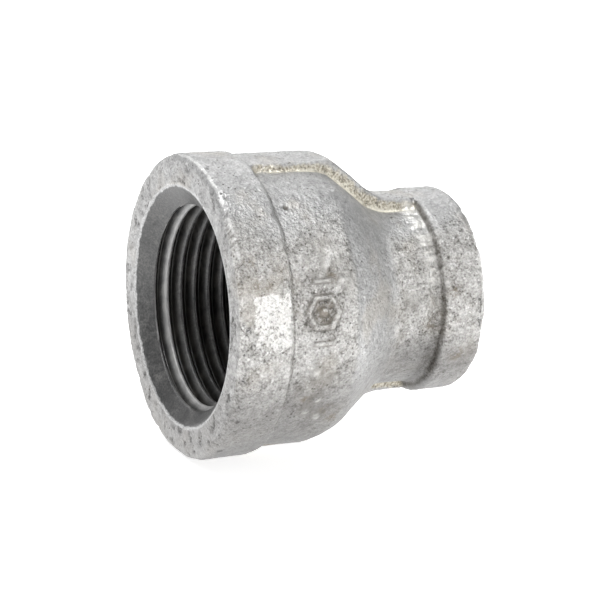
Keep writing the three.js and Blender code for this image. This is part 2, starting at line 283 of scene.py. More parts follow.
class Shell:
    """Collects vertices, faces and per-vertex attributes for one closed mesh."""

    NAMES = (
        "rough", "edge", "under", "rib_side", "foot", "stain", "crease", "ground",
        "raised", "wear", "streak", "root", "groove", "painted_ridge_light", "lip",
    )

    def __init__(self):
        self.points = []
        self.values = {name: [] for name in self.NAMES}
        self.faces = []
        self.slots = []
        self.count = 0

    def add(self, x, radius, angle, **values):
        """Adds vertices at cylindrical places, and returns their indices."""
        x, radius, angle = np.broadcast_arrays(x, radius, angle)
        self.points.append(place_on(x.ravel(), radius.ravel(), angle.ravel()))
        for name in self.NAMES:
            value = np.broadcast_to(values.get(name, 0.0), x.shape)
            self.values[name].append(value.ravel())
        first = self.count
        self.count += x.size
        return np.arange(first, self.count).reshape(x.shape)

    def face(self, corners, slot):
        self.faces.append([int(c) for c in corners])
        self.slots.append(slot)

    def bridge(self, a, b, slot):
        """Joins two rings of as many vertices."""
        n = len(a)
        for i in range(n):
            j = (i + 1) % n
            self.face((a[i], b[i], b[j], a[j]), slot)

    def narrow(self, wide, few, slot):
        """Joins a ring to the next one along the path, which has fewer vertices."""
        n = len(few)
        for k in range(n):
            w = [wide[(COLUMN_RATIO * k + step) % len(wide)] for step in range(4)]
            self.face((w[0], few[k], w[1]), slot)
            self.face((w[1], few[k], few[(k + 1) % n], w[2]), slot)
            self.face((w[2], few[(k + 1) % n], w[3]), slot)

    def widen(self, few, wide, slot):
        """Joins a ring to the next one along the path, which has more vertices."""
        n = len(few)
        for k in range(n):
            w = [wide[(COLUMN_RATIO * k + step) % len(wide)] for step in range(4)]
            self.face((few[k], w[0], w[1]), slot)
            self.face((few[k], w[1], w[2], few[(k + 1) % n]), slot)
            self.face((few[(k + 1) % n], w[2], w[3]), slot)

    def helical(self, first_x, turns, thread, angles, place, slot):
        """A wall whose rows follow a right-hand thread as x falls, between two level rings.

        The rows fan out from one vertex of the first ring over the first turn, and close on one vertex of
        the last ring over the last. place(x, angle) gives radius and attributes. Returns both rings.
        """
        n = len(angles)
        share = np.concatenate([angles - angles[0], [TAU]]) / TAU
        across = np.array(thread.samples() + [1.0])
        rows = len(across) - 1
        pitch = thread.pitch

        def vertex_grid(path, columns):
            x = first_x - path
            angle = np.broadcast_to(angles[np.asarray(columns) % n], x.shape)
            radius, values = place(x, angle)
            return self.add(x, radius, angle, **values)

        # wall[turn, row, column]: turn 0 is the fan, the last turn is the closing one.
        level = vertex_grid(np.zeros(n), np.arange(n))
        wall = np.empty((turns + 2, rows + 1, n + 1), int)
        for turn in range(1, turns + 1):
            path = (turn - 1 + share[None, :n] + across[:rows, None]) * pitch
            wall[turn, :rows, :n] = vertex_grid(path, np.arange(n)[None, :])
        wall[1, 0, 0] = level[0]
        fan_path = across[1:rows, None] * share[None, 1:n] * pitch
        wall[0, 1:rows, 1:n] = vertex_grid(fan_path, np.arange(1, n)[None, :])
        wall[0, 0, :n] = level
        wall[0, :, 0] = level[0]
        last_path = np.full(n, (turns + 1) * pitch)
        last = vertex_grid(last_path, np.arange(n))
        close_share = (1 - across[:rows, None]) * (1 - share[None, :n])
        close_path = (turns + 1 - close_share) * pitch
        wall[turns + 1, :rows, :n] = vertex_grid(close_path, np.arange(n)[None, :])
        wall[turns + 1, rows, :n] = last
        wall[turns + 1, :, n] = last[0]
        for turn in range(turns + 1):
            wall[turn, rows, :n] = wall[turn + 1, 0, :n]
            wall[turn, :rows, n] = wall[turn + 1, :rows, 0]
            wall[turn, rows, n] = wall[turn + 1, rows, 0] if turn == turns else wall[turn + 2, 0, 0]
        wall[0, 0, n] = level[0]
        for sheet in wall:
            self.sheet(sheet, slot)
        return level, last

    def sheet(self, grid, slot):
        """Faces over a grid of vertices, where neighbours that are the same vertex close up."""
        for upper, lower in zip(grid, grid[1:]):
            for i in range(len(upper) - 1):
                corners = [upper[i], lower[i], lower[i + 1], upper[i + 1]]
                unique = [c for k, c in enumerate(corners) if c != corners[k - 1]]
                if len(unique) > 2:
                    self.face(unique, slot)

    def to_object(self, name, materials):
        """The mesh as an object in metres, centred along the bore as the frame is, without loose vertices."""
        points = np.concatenate(self.points)
        points[:, 0] -= LENGTH / 2
        used = np.unique(np.concatenate(self.faces))
        index = np.full(len(points), -1)
        index[used] = np.arange(len(used))
        faces = [[int(index[c]) for c in face] for face in self.faces]
        mesh = bpy.data.meshes.new(name)
        mesh.from_pydata((points[used] * MM).tolist(), [], faces)
        for material in materials:
            mesh.materials.append(material)
        mesh.polygons.foreach_set("material_index", self.slots)
        mesh.polygons.foreach_set("use_smooth", [True] * len(faces))
        for key, parts in self.values.items():
            layer = mesh.attributes.new(key, "FLOAT", "POINT")
            layer.data.foreach_set("value", np.concatenate(parts)[used].astype(np.float32))
        mesh.validate()
        mesh.update()
        piece = bpy.data.objects.new(name, mesh)
        bpy.context.scene.collection.objects.link(piece)
        return piece


# ---------------------------------------------------------------------------------------------------------
# The casting's surfaces
# ---------------------------------------------------------------------------------------------------------


def rib_crest():
    """The ribs' crest line from the large band to the small one."""
    start = SHOULDER_START + RIB_SHOULDER_LEAD
    line = shoulder(start, RIB_LARGE_CREST, RIB_SHOULDER_ROUND, RIB_SMALL_CREST, RIB_SHOULDER_ROUND)
    return np.array([(LARGE_BAND_WIDTH - 0.5, RIB_LARGE_CREST)] + line + [(LENGTH - 3.0, RIB_SMALL_CREST)])


def add_ribs(x, radius, angle, rough):
    """Raises the two mould ribs. Also gives shares for their sides, the lines along their feet, and all."""
    crest = rib_crest()
    crest_radius = np.interp(x, crest[:, 0], crest[:, 1])
    half = np.interp(x, [SHOULDER_START, SMALL_STEP_X], [RIB_LARGE_HALF, RIB_SMALL_HALF])
    across = np.abs(np.cos(angle)) * crest_radius
    wander = 0.16 * rough
    inside = 1 - smooth(across + wander, half - 0.75, half + 0.35)
    present = smooth(x, LARGE_BAND_WIDTH - 0.4, LARGE_BAND_WIDTH)
    present = present * (1 - smooth(x, SMALL_STEP_X + 0.6, SMALL_STEP_X + 1.2))
    height = np.maximum(crest_radius - radius, 0)
    side = bell(across + 2 * wander - half, 0.5) * present * smooth(height, 0.35, 0.9)
    foot = bell(across + 1.5 * wander - half - 0.42, 0.25) * present * smooth(height, 0.3, 0.7)
    return radius + height * inside * present, side, foot, inside * present


def add_gate_flat(x, radius, angle, rough):
    """Grinds the flat where the gate was broken off, and tells where its bare face is."""
    turn = angle - GATE_ANGLE
    flat = (LARGE_EDGE_RADIUS - GATE_FLAT_DEPTH) / np.maximum(np.cos(turn), 0.5)
    edge = 0.22 * rough
    start = smooth(x + edge, LARGE_RIM_ROUND + 0.15, LARGE_RIM_ROUND + 0.45)
    end = 1 - smooth(x + edge, LARGE_BAND_WIDTH - 0.7, LARGE_BAND_WIDTH - 0.2)
    bare_start = smooth(x + 2.2 * edge, LARGE_RIM_ROUND + 0.2, LARGE_RIM_ROUND + 1.2)
    cut = np.maximum(radius - flat, 0) * (np.cos(turn) > 0.5)
    depth = cut * start * end
    upper = 1 - smooth(turn + 0.05 * rough, math.radians(8.6), math.radians(10.8))
    # The bare face fades out down the flat, where its painted highlight fades.
    lower = smooth(turn + 0.09 * rough, math.radians(-26.0), math.radians(2.0))
    return radius - depth, bare_start * end * upper * lower


def mark_height(x, angle, rough):
    """The raised mark: a worn hexagon outline round a pip, with a bar to either side round the body."""
    along = x - MARK_X
    around = (angle - MARK_ANGLE) * BODY_RADIUS
    reach = np.zeros(len(x))
    for turn in (30, 90, 150):
        facing = math.radians(turn)
        reach = np.maximum(reach, np.abs(along * math.cos(facing) + around * math.sin(facing)))
    apothem = MARK_RADIUS * math.cos(math.radians(30))
    line_half = MARK_LINE / 2
    outline = 1 - smooth(np.abs(reach - apothem + line_half) + 0.1 * rough, line_half - 0.2, line_half + 0.25)
    pip = 1 - smooth(np.hypot(along, around) + 0.12 * rough, MARK_LINE - 0.35, MARK_LINE + 0.2)
    bar_at = MARK_RADIUS + 2 * MARK_LINE
    off_bar = np.maximum(np.abs(along) - MARK_RADIUS / 2 + line_half, np.abs(np.abs(around) - bar_at))
    bar = 1 - smooth(off_bar + 0.12 * rough, line_half - 0.25, line_half + 0.25)
    return np.maximum(np.maximum(outline, pip), bar)


# Smooth bumps that the mould left: x, angle in degrees, size along, size around, height.
MOULD_BUMPS = (
    (15.0, 36, 0.9, 1.3, 0.42),
    (14.3, 31, 0.7, 0.8, 0.30),
    (12.2, 42, 1.1, 0.7, 0.16),
    (12.7, -12, 0.8, 1.0, 0.38),
    (15.7, -15, 0.8, 0.9, 0.34),
    (13.6, -24, 0.9, 0.8, 0.36),
    (12.4, -30, 0.9, 0.8, 0.34),
    (16.3, -28, 0.9, 0.8, -0.26),
    (14.6, -34, 0.9, 0.8, 0.34),
    (17.6, -8, 0.8, 1.4, -0.22),
    (17.9, 24, 1.2, 1.6, 0.16),
    (20.4, 8, 1.5, 1.2, -0.14),
    (10.4, -20, 0.7, 1.8, -0.18),
    (10.3, 30, 0.8, 1.2, -0.14),
    (13.4, 39, 0.6, 0.8, 0.32),
    (16.3, 34, 0.6, 0.9, 0.28),
    (12.9, 27, 1.2, 0.6, 0.26),
    (16.4, 25, 1.0, 0.7, 0.24),
    (11.2, 33, 0.6, 0.8, 0.22),
    (31.0, 12, 1.4, 1.6, 0.16),
    (33.2, -14, 1.0, 1.5, -0.14),
    (39.3, 11, 1.4, 1.5, -0.16),
)


def bump_height(x, angle):
    total = np.zeros(len(x))
    for centre, degrees, along, around, height in MOULD_BUMPS:
        off_x = (x - centre) / along
        off_round = (angle - math.radians(degrees)) * NECK_RADIUS * 1.4 / around
        total += height * np.exp(-(off_x * off_x + off_round * off_round))
    return total


# Brown stains: x, angle in degrees, reach.
STAINS = (
    (2.5, 24.5, 0.75),
    (4.6, 25.0, 0.9),
    (2.0, 33, 1.1),
    (13.2, 13, 2.1),
    (14.9, 27, 1.0),
    (15.8, -31, 0.9),
    (17.6, -37, 1.1),
    (11.8, -24, 0.8),
    (34.4, -4, 1.2),
    (37.6, 16, 0.9),
    (38.8, -22, 1.2),
)


def stains(x, angle):
    total = np.zeros(len(x))
    for centre, degrees, reach in STAINS:
        across = (angle - math.radians(degrees)) * np.where(x < 26, BODY_RADIUS, NECK_RADIUS)
        total = np.maximum(total, np.exp(-((x - centre) ** 2 + across**2) / reach**2))
    return total


class Skin:
    """The outside's places on a grid of outline rows by columns, and the noise that breaks its details up."""

    def __init__(self, rows, angles):
        tangent = np.gradient(rows, axis=0)
        length = np.hypot(tangent[:, 0], tangent[:, 1])
        normal = np.stack([-tangent[:, 1], tangent[:, 0]], axis=1) / length[:, None]
        shape = (len(rows), len(angles))
        self.x = np.broadcast_to(rows[:, :1], shape).ravel()
        self.radius = np.broadcast_to(rows[:, 1:], shape).ravel()
        self.angle = np.broadcast_to(angles[None, :], shape).ravel()
        self.out_x = np.broadcast_to(normal[:, :1], shape).ravel()
        self.out_radius = np.broadcast_to(normal[:, 1:], shape).ravel()
        self.signed = (self.angle + math.pi) % TAU - math.pi
        self.upward = np.sin(self.signed)

        at = place_on(self.x, self.radius, self.angle)
        self.broad = lumps(at, 8.0, 11)
        self.middle = lumps(at, 2.9, 12)
        self.small = lumps(at, 1.25, 13)
        self.fine = lumps(at, 0.7, 14)
        self.chip_noise = lumps(at, 1.1, 15)
        self.drip_noise = lumps(place_on(self.x * 0.3, self.radius, self.angle), 0.5, 16)

        # The bands' inner edges wander a little along the bore.
        self.near_small_step = bell(self.x - SMALL_STEP_X, 1.1)
        wander = bell(self.x - LARGE_BAND_WIDTH, 0.9) * (0.22 * self.middle + 0.1 * self.small)
        wander = wander + self.near_small_step * (0.12 * self.middle + 0.10 * self.small)
        self.shifted = self.x + wander


def body_only(skin):
    """1 on the large part of the body, where the mark stands, and 0 on the band and down the slope."""
    below_band = smooth(BODY_RADIUS + 0.1 - skin.radius, -0.2, 0.0)
    return below_band * (1 - smooth(BODY_RADIUS - skin.radius, 1.0, 2.5))


def end_faces(skin):
    """1 on the two flat end faces."""
    steep = 1 - np.abs(skin.out_radius)
    return smooth(steep, 0.6, 0.95) * ((skin.x < 0.3) | (skin.x > LENGTH - 0.3))


def rough_zone(skin, on_face):
    """Where the sand left its grain: the front, less on the slope between body and neck."""
    rough = smooth(np.cos(skin.signed - math.radians(2)) + 0.12 * skin.broad, 0.45, 0.9)
    slope = smooth(skin.x, 18.0, 19.5) * (1 - smooth(skin.x, 27.5, 30.0))
    return rough * (1 - 0.75 * slope) * (1 - 0.6 * on_face)


def skin_waves(skin, rough, calm):
    """The unevenness of the cast skin, from broad waves to grain."""
    waves = calm * (0.10 * skin.broad + 0.08 * skin.middle + 0.04 * skin.small + 0.02 * skin.fine)
    waves = waves + calm * rough * (0.03 * skin.small + 0.045 * skin.fine)
    return waves + skin.near_small_step * (0.05 * skin.small + 0.05 * skin.fine)


def zinc_drips(skin, on_rib):
    """Short zinc drips on the neck, side by side along the small band's upper front edge."""
    drips = 0.2 + 0.8 * smooth(skin.drip_noise, -0.3, 0.4)
    drips = drips * bell(skin.x - SMALL_STEP_X + 1.35, 1.1)
    drips = drips * smooth(skin.signed, math.radians(12), math.radians(28)) * (1 - on_rib)
    return drips * (1 - smooth(skin.signed, math.radians(95), math.radians(125)))


def edge_chips(skin):
    """Chips out of both end faces and their rims, few of them on the large rim's worn top."""
    ends = (skin.x < 1.6) | (skin.x > LENGTH - 1.6)
    chips = smooth(skin.chip_noise + 0.35 * skin.fine, 0.34, 0.66) * ends
    return chips * (1 - 0.75 * bell(skin.x - 0.7, 0.5) * (skin.upward > 0.5))


def sand_hole(skin):
    """A pit that a lump of loose sand left beside the large band."""
    around = (skin.signed - SAND_HOLE_ANGLE) * BODY_RADIUS
    return 1 - smooth(np.hypot(skin.x - SAND_HOLE_X, around), 0.3, 0.62)


def painted_root_shade(skin, on_rib):
    """Painted shade: dark lines in the corners at the foot of both bands, deeper on the small band's front.
    """
    from_step = skin.shifted - SMALL_STEP_X
    lower_front = smooth(np.cos(skin.signed + math.radians(8)), 0.7, 0.9)
    upper_front = smooth(skin.signed, math.radians(24), math.radians(34)) * smooth(skin.small, -0.5, 0.1)
    strength = 0.62 + 0.22 * lower_front + 0.35 * upper_front
    reach = 0.13 + 0.1 * np.maximum(lower_front, upper_front)
    roots = 0.7 * bell(skin.x - LARGE_BAND_WIDTH - 0.42, 0.17)
    roots = roots + strength * bell(from_step + 0.02, reach)
    roots = roots + 0.36 * lower_front * bell(from_step + 0.75, 0.65)
    roots = np.minimum(roots, 1) * (1 - on_rib)
    return roots * smooth(skin.small + 0.8 * skin.fine, -1.3, -0.1)


def relief_light_and_tone(skin, mark, bumps):
    """Painted light that follows the relief, over a random tone: 0.5 on the plain skin, more on what stands
    proud.
    """
    around = (skin.signed - MARK_ANGLE) * BODY_RADIUS
    near_mark = smooth(3.9 - np.hypot(skin.x - MARK_X, around), 0, 0.8)
    tone = 0.5 + 0.08 * skin.middle + 0.25 * skin.small + 0.5 * skin.fine
    return np.clip(tone + 0.55 * mark - 0.3 * near_mark + bumps, 0, 1)


def worn_rims_and_painted_highlight(skin):
    """Worn rims with a painted highlight along them: their upper side, and on the large one only the top."""
    worn = bell(skin.x - 0.65, 0.4) + bell(LENGTH - 0.7 - skin.x, 0.45)
    worn = worn * (skin.radius > SMALL_MOUTH_RADIUS + 2.4) * (1 - smooth(-skin.upward, -0.1, 0.3))
    worn = worn * np.where(skin.x < LENGTH / 2, smooth(skin.upward, 0.4, 0.62), 1)
    return worn * smooth(skin.small + 0.6 * skin.fine, -1.0, 0.0)


def painted_underside_shade(skin, on_rib, on_face):
    """Painted shade: the underside darker, less on the ribs, and the end faces darker, most towards their
    foot.
    """
    below = smooth(-skin.upward, -0.08, 0.62) * (1 - 0.8 * on_rib)
    face = (0.5 + 0.35 * smooth(-skin.upward, 0, 0.8)) * on_face
    return np.maximum(below, face)


def outer_surface(rows, angles):
    """The outside's vertices and attributes on a grid of outline rows by columns."""
    skin = Skin(rows, angles)
    ribbed, rib_side, rib_foot, on_rib = add_ribs(skin.shifted, skin.radius, skin.signed, skin.middle)
    cut, ground = add_gate_flat(skin.shifted, ribbed, skin.signed, skin.small)
    mark = mark_height(skin.shifted, skin.signed, skin.small) * body_only(skin)
    bumps = bump_height(skin.shifted, skin.signed)
    on_face = end_faces(skin)
    rough = rough_zone(skin, on_face)
    drips = zinc_drips(skin, on_rib)
    chips = edge_chips(skin)
    hole = sand_hole(skin)

    lift = skin_waves(skin, rough, 1 - 0.85 * ground - 0.7 * on_face)
    lift = lift + DRIP_HEIGHT * drips + MARK_HEIGHT * mark + bumps * (1 - ground)
    lift = lift - CHIP_DEPTH * chips - SAND_HOLE_DEPTH * hole - SKIN_ALLOWANCE

    # Painted shade round the bumps' sides, and a painted highlight on their tops.
    bump_side = np.clip(bumps / 0.3, 0, 1)
    painted_bump_shade = 2 * bump_side * (1 - bump_side) * rough
    painted_bump_highlight = 0.4 * smooth(bumps, 0.12, 0.3) * smooth(skin.fine, -0.4, 0.3) * rough
    values = {
        "rough": rough,
        # Worn rims, with a painted highlight along their upper side.
        "edge": worn_rims_and_painted_highlight(skin),
        # Painted shade: darker underneath and on the end faces.
        "under": painted_underside_shade(skin, on_rib, on_face),
        "rib_side": rib_side,
        "foot": rib_foot,
        "stain": stains(skin.x, skin.signed),
        # Painted shade along the mark's edges and round the bumps.
        "crease": np.maximum(4 * mark * (1 - mark), painted_bump_shade),
        "ground": ground,
        # Painted light on what stands proud and painted shade in dents, over a random tone.
        "raised": relief_light_and_tone(skin, mark, bumps),
        "wear": chips,
        # Painted highlights: the zinc drips and the tops of the bumps made near white.
        "streak": np.maximum(drips, painted_bump_highlight),
        # Painted shade at the bands' feet, and the sand hole's dark pit.
        "root": np.maximum(painted_root_shade(skin, on_rib), hole),
    }
    return skin.shifted + skin.out_x * lift, cut + skin.out_radius * lift, skin.angle, values


def countersink(depth_in, mouth_radius):
    return mouth_radius - depth_in * COUNTERSINK_FLARE


def socket_place(thread, crest_x, face_x, direction, mouth_radius):
    """A function that gives a socket wall's radius and attributes at a place, for Shell.helical."""

    def place(x, angle):
        depth_in = (x - face_x) * direction
        share = ((crest_x - x) / thread.pitch - angle / TAU) % 1
        cut = thread.groove(share) * smooth(depth_in, 0.6 * thread.pitch, 1.25 * thread.pitch)
        wall = thread.minor(depth_in) + cut
        cone = countersink(depth_in, mouth_radius)
        radius = np.maximum(wall, cone)
        deep = smooth(depth_in, 1.8 * thread.pitch, 2.4 * thread.pitch)
        share_cut = cut / thread.depth
        # Groove: oil and painted shade, darker towards the roots and over more of the groove deeper in.
        # Ridge: painted light on the crests near the mouth, fading deeper in.
        groove = np.where(wall > cone, share_cut ** (2.6 - 2.0 * deep), 0)
        painted_ridge_light = np.where(wall > cone, 1 - smooth(share_cut, 0.12, 0.65), 0) * smooth(depth_in, 0.5, 1.2)
        painted_ridge_light = painted_ridge_light * (1 - 0.92 * smooth(depth_in, 1.7 * thread.pitch, 3.0 * thread.pitch))
        return radius, {"groove": groove, "painted_ridge_light": painted_ridge_light, "raised": 0.5}

    return place


def add_socket(shell, thread, angles, crest_x, near_x, place):
    """Adds a threaded wall that starts at a level ring as near a place as the columns allow."""
    wanted = ((crest_x - near_x) / thread.pitch) % 1 * TAU
    column = int(np.argmin(np.abs(angles - wanted)))
    turned = np.concatenate([angles[column:], angles[:column] + TAU])
    whole = round((crest_x - near_x) / thread.pitch - angles[column] / TAU)
    first_x = crest_x - (whole + angles[column] / TAU) * thread.pitch
    level, last = shell.helical(first_x, THREAD_TURNS, thread, turned, place, MACHINED)
    return np.roll(level, column), np.roll(last, column)


def chamber_outline(small_end, large_end):
    """The cored chamber's wall from the small thread's inner end to the large one's."""
    start = SHOULDER_START - SHOULDER_WALL * math.tan(SHOULDER_SLOPE / 2)
    wall = shoulder(start, CHAMBER_LARGE_RADIUS, CHAMBER_ROUND, CHAMBER_SMALL_RADIUS, CHAMBER_ROUND)
    between = [(x, radius) for x, radius in wall[::-2] if large_end + 0.6 < x < small_end - 0.4]
    return [(small_end - 0.1, CHAMBER_SMALL_RADIUS)] + between + [(large_end + 0.35, CHAMBER_LARGE_RADIUS)]


def add_outside(shell, angles):
    """The outside from the large mouth to the small one. Returns its first and last rings."""
    close = ((-0.1, 1.6), (7.4, 19.0), (SMALL_STEP_X - 0.8, SMALL_STEP_X + 1.4))
    rows = resampled(outer_outline(), OUTER_ROW_STEP, close)
    x, radius, angle, values = outer_surface(rows, angles)
    outside = shell.add(x, radius, angle, **values).reshape(len(rows), len(angles))
    for k in range(len(rows) - 1):
        shell.bridge(outside[k], outside[k + 1], CAST)
    return outside[0], outside[-1]


def casting_shell():
    """The whole casting as one closed shell, walked from the large mouth over the outside and back inside."""
    shell = Shell()
    angles = column_angles()
    few = angles[::COLUMN_RATIO]

    def ring(at_x, radius, **values):
        return shell.add(at_x, radius, few, raised=0.5, **values)

    first, last = add_outside(shell, angles)
    small_mouth = ring(LENGTH - 0.04, SMALL_MOUTH_RADIUS)
    shell.narrow(last, small_mouth, CAST)
    small_place = socket_place(SMALL_THREAD, SMALL_CREST_X, LENGTH, -1, SMALL_MOUTH_RADIUS)
    small_start = LENGTH - SMALL_WALL_START
    start, end = add_socket(shell, SMALL_THREAD, few, SMALL_CREST_X, small_start, small_place)
    shell.bridge(small_mouth, start, MACHINED)

    last_ring = end
    small_end = small_start - (THREAD_TURNS + 1) * SMALL_THREAD.pitch
    large_end = LARGE_WALL_START + (THREAD_TURNS + 1) * LARGE_THREAD.pitch
    for at_x, radius in chamber_outline(small_end, large_end):
        rough = 0.12 * lumps(place_on(np.full(len(few), at_x), radius, few), 2.5, 21)
        this_ring = ring(at_x, radius + rough)
        shell.bridge(last_ring, this_ring, CORED)
        last_ring = this_ring

    large_place = socket_place(LARGE_THREAD, LARGE_CREST_X, 0, 1, LARGE_MOUTH_RADIUS)
    start, end = add_socket(shell, LARGE_THREAD, few, LARGE_CREST_X, large_end, large_place)
    shell.bridge(last_ring, start, CORED)
    inner_lip = ring(0.40, countersink(0.40, LARGE_MOUTH_RADIUS))
    shell.bridge(end, inner_lip, MACHINED)
    large_mouth = ring(0.10, LARGE_MOUTH_RADIUS + 0.08, lip=1.0)
    shell.bridge(inner_lip, large_mouth, MACHINED)
    shell.widen(large_mouth, first, CAST)
    return shell


# ---------------------------------------------------------------------------------------------------------
# Materials
# ---------------------------------------------------------------------------------------------------------


class Graph:
    """Builds a material's node tree."""

    def __init__(self, name):
        self.material = bpy.data.materials.new(name)
        self.material.use_nodes = True
        self.tree = self.material.node_tree
        self.shader = self.tree.nodes["Principled BSDF"]
        self.place = self.node("ShaderNodeTexCoord").outputs["Object"]

    def node(self, kind, **settings):
        made = self.tree.nodes.new(kind)
        for key, value in settings.items():
            setattr(made, key, value)
        return made

    def feed(self, socket, value):
        if isinstance(value, bpy.types.NodeSocket):
            self.tree.links.new(value, socket)
        else:
            socket.default_value = value

    def noise(self, size_mm, detail=2.0, roughness=0.5, distortion=0.0):
        made = self.node("ShaderNodeTexNoise")
        self.feed(made.inputs["Vector"], self.place)
        made.inputs["Scale"].default_value = 1000 / size_mm
        made.inputs["Detail"].default_value = detail
        made.inputs["Roughness"].default_value = roughness
        made.inputs["Distortion"].default_value = distortion
        return made.outputs["Fac"]

    def spots(self, size_mm):
        made = self.node("ShaderNodeTexVoronoi")
        self.feed(made.inputs["Vector"], self.place)
        made.inputs["Scale"].default_value = 1000 / size_mm
        return made.outputs["Distance"]

    def attribute(self, name):
        return self.node("ShaderNodeAttribute", attribute_name=name).outputs["Fac"]

    def band(self, value, low, high, to_low=0.0, to_high=1.0):
        made = self.node("ShaderNodeMapRange", interpolation_type="SMOOTHSTEP")
        self.feed(made.inputs["Value"], value)
        made.inputs["From Min"].default_value = low
        made.inputs["From Max"].default_value = high
        made.inputs["To Min"].default_value = to_low
        made.inputs["To Max"].default_value = to_high
        return made.outputs["Result"]

    def math(self, operation, a, b):
        made = self.node("ShaderNodeMath", operation=operation)
        self.feed(made.inputs[0], a)
        self.feed(made.inputs[1], b)
        return made.outputs[0]

    def plus(self, a, b):
        return self.math("ADD", a, b)

    def times(self, a, b):
        return self.math("MULTIPLY", a, b)

    def colours(self, value, *stops):
        made = self.node("ShaderNodeValToRGB")
        self.feed(made.inputs["Fac"], value)
        elements = made.color_ramp.elements
        while len(elements) < len(stops):
            elements.new(0.5)
        for element, (position, colour) in zip(elements, stops):
            element.position = position
            element.color = (*colour, 1)
        return made.outputs["Color"]

    def mix(self, share, a, b):
        made = self.node("ShaderNodeMix", data_type="RGBA")
        self.feed(made.inputs["Factor"], share)
        self.feed(made.inputs[6], a)
        self.feed(made.inputs[7], b)
        return made.outputs[2]

    def finish(self, colour, metallic, roughness, height, depth_mm):
        bump = self.node("ShaderNodeBump")
        bump.inputs["Distance"].default_value = depth_mm * MM
        self.feed(bump.inputs["Height"], height)
        self.feed(self.shader.inputs["Base Color"], colour)
        self.feed(self.shader.inputs["Metallic"], metallic)
        self.feed(self.shader.inputs["Roughness"], roughness)
        self.feed(self.shader.inputs["Normal"], bump.outputs["Normal"])
        return self.material


def grey(level, warm=0.0):
    return (level * (1 + warm), level, level * (1 - 1.6 * warm))


WARM_GREY = (0.42, 0.375, 0.31, 1)
GLINT = (0.86, 0.855, 0.84, 1)
UNDERSIDE_SHADE_GREY = (0.20, 0.195, 0.19, 1)
SPECK = (0.08, 0.07, 0.055, 1)
CHIPPED = (0.07, 0.068, 0.065, 1)
CREAM = (0.93, 0.90, 0.79, 1)
BROWN = (0.17, 0.135, 0.09, 1)
CREASE_SHADE = (0.12, 0.105, 0.08, 1)
ROOT_SHADE_AND_PIT_DIRT = (0.07, 0.062, 0.048, 1)
WORN_AND_HIGHLIGHT_BRIGHT = (0.84, 0.84, 0.83, 1)
DRIP_AND_BUMP_HIGHLIGHT = (0.86, 0.85, 0.82, 1)


def coat_colour(g, tone, rough, glints):
    """The coat's colour: an even grey, more mottled and warmer where it is rough, with painted glints and
    painted shade underneath.
    """
    even = g.colours(
        tone,
        (0.34, grey(0.26, 0.004)),
        (0.45, grey(0.37)),
        (0.55, grey(0.44)),
        (0.68, grey(0.58)),
    )
    mottled = g.colours(
        tone,
        (0.34, grey(0.10, 0.07)),
        (0.42, grey(0.34, 0.035)),
        (0.50, grey(0.50, 0.02)),
        (0.62, grey(0.74, 0.015)),
    )
    colour = g.mix(g.band(rough, 0.1, 0.9, 0.0, 0.85), even, mottled)
    warm = g.band(g.noise(6.0, detail=4), 0.52, 0.7, 0.0, 0.3)
    colour = g.mix(warm, colour, WARM_GREY)
    colour = g.mix(g.times(glints, 0.8), colour, GLINT)
    # Painted shade: darker underneath and on the end faces.
    painted_shade = g.band(g.attribute("under"), 0.0, 1.0, 0.0, 0.75)
    return g.mix(painted_shade, colour, UNDERSIDE_SHADE_GREY)


def with_specks(g, colour, specks, blotches):
    """Dark specks in patches, and dark iron where the rims are chipped."""
    colour = g.mix(g.times(specks, 0.75), colour, SPECK)
    chips = g.times(g.attribute("wear"), g.band(blotches, 0.45, 0.58))
    return g.mix(g.times(chips, 0.85), colour, CHIPPED)


def with_residue(g, colour, blotches, grain):
    """The sandy residue on the ribs' sides, with a cream line along its foot."""
    share = g.band(g.plus(g.attribute("rib_side"), g.times(blotches, 1.4)), 0.9, 1.6, 0.0, 0.85)
    residue = g.colours(
        g.plus(g.times(grain, 0.7), g.times(blotches, 0.3)),
        (0.36, (0.13, 0.11, 0.075)),
        (0.47, (0.35, 0.315, 0.24)),
        (0.60, (0.62, 0.585, 0.50)),
    )
    colour = g.mix(share, colour, residue)
    foot = g.times(g.attribute("foot"), g.band(g.noise(2.5, detail=3), 0.42, 0.54, 0.3, 1.0))
    return g.mix(foot, colour, CREAM)


def with_stains_and_painted_shade(g, colour, blotches, grain):
    """Brown stains, painted shade in the relief's creases and at the bands' feet, and the sand hole's dark
    pit.
    """
    brown = g.times(g.attribute("stain"), g.band(blotches, 0.44, 0.58, 0.08, 0.72))
    colour = g.mix(brown, colour, BROWN)
    # Painted shade in the relief's creases.
    crease = g.times(g.attribute("crease"), g.band(grain, 0.35, 0.6, 0.35, 0.8))
    colour = g.mix(crease, colour, CREASE_SHADE)
    # Painted shade at the bands' feet, and the sand hole's dark pit.
    root = g.times(g.attribute("root"), g.band(grain, 0.3, 0.6, 0.97, 0.75))
    return g.mix(root, colour, ROOT_SHADE_AND_PIT_DIRT)


def with_wear_and_painted_highlights(g, colour, wear_and_painted_shine, blotches, grain):
    """Worn rims, zinc drips and the ragged patch ground bare on the gate flat, all brightened with painted
    highlights.
    """
    colour = g.mix(g.times(wear_and_painted_shine, 0.5), colour, WORN_AND_HIGHLIGHT_BRIGHT)
    # Painted highlights on the zinc drips and the bumps' tops.
    colour = g.mix(g.times(g.attribute("streak"), 0.95), colour, DRIP_AND_BUMP_HIGHLIGHT)
    ragged = g.plus(g.times(blotches, 0.9), g.times(grain, 0.5))
    # Bare ground metal on the gate flat, made near white as a painted highlight.
    bare = g.band(g.plus(g.attribute("ground"), ragged), 1.05, 1.6)
    ground = g.colours(
        g.plus(g.times(grain, 0.6), g.times(blotches, 0.4)),
        (0.36, grey(0.25, 0.05)),
        (0.43, grey(0.66, 0.02)),
        (0.54, grey(0.86, 0.012)),
    )
    return g.mix(bare, colour, ground)


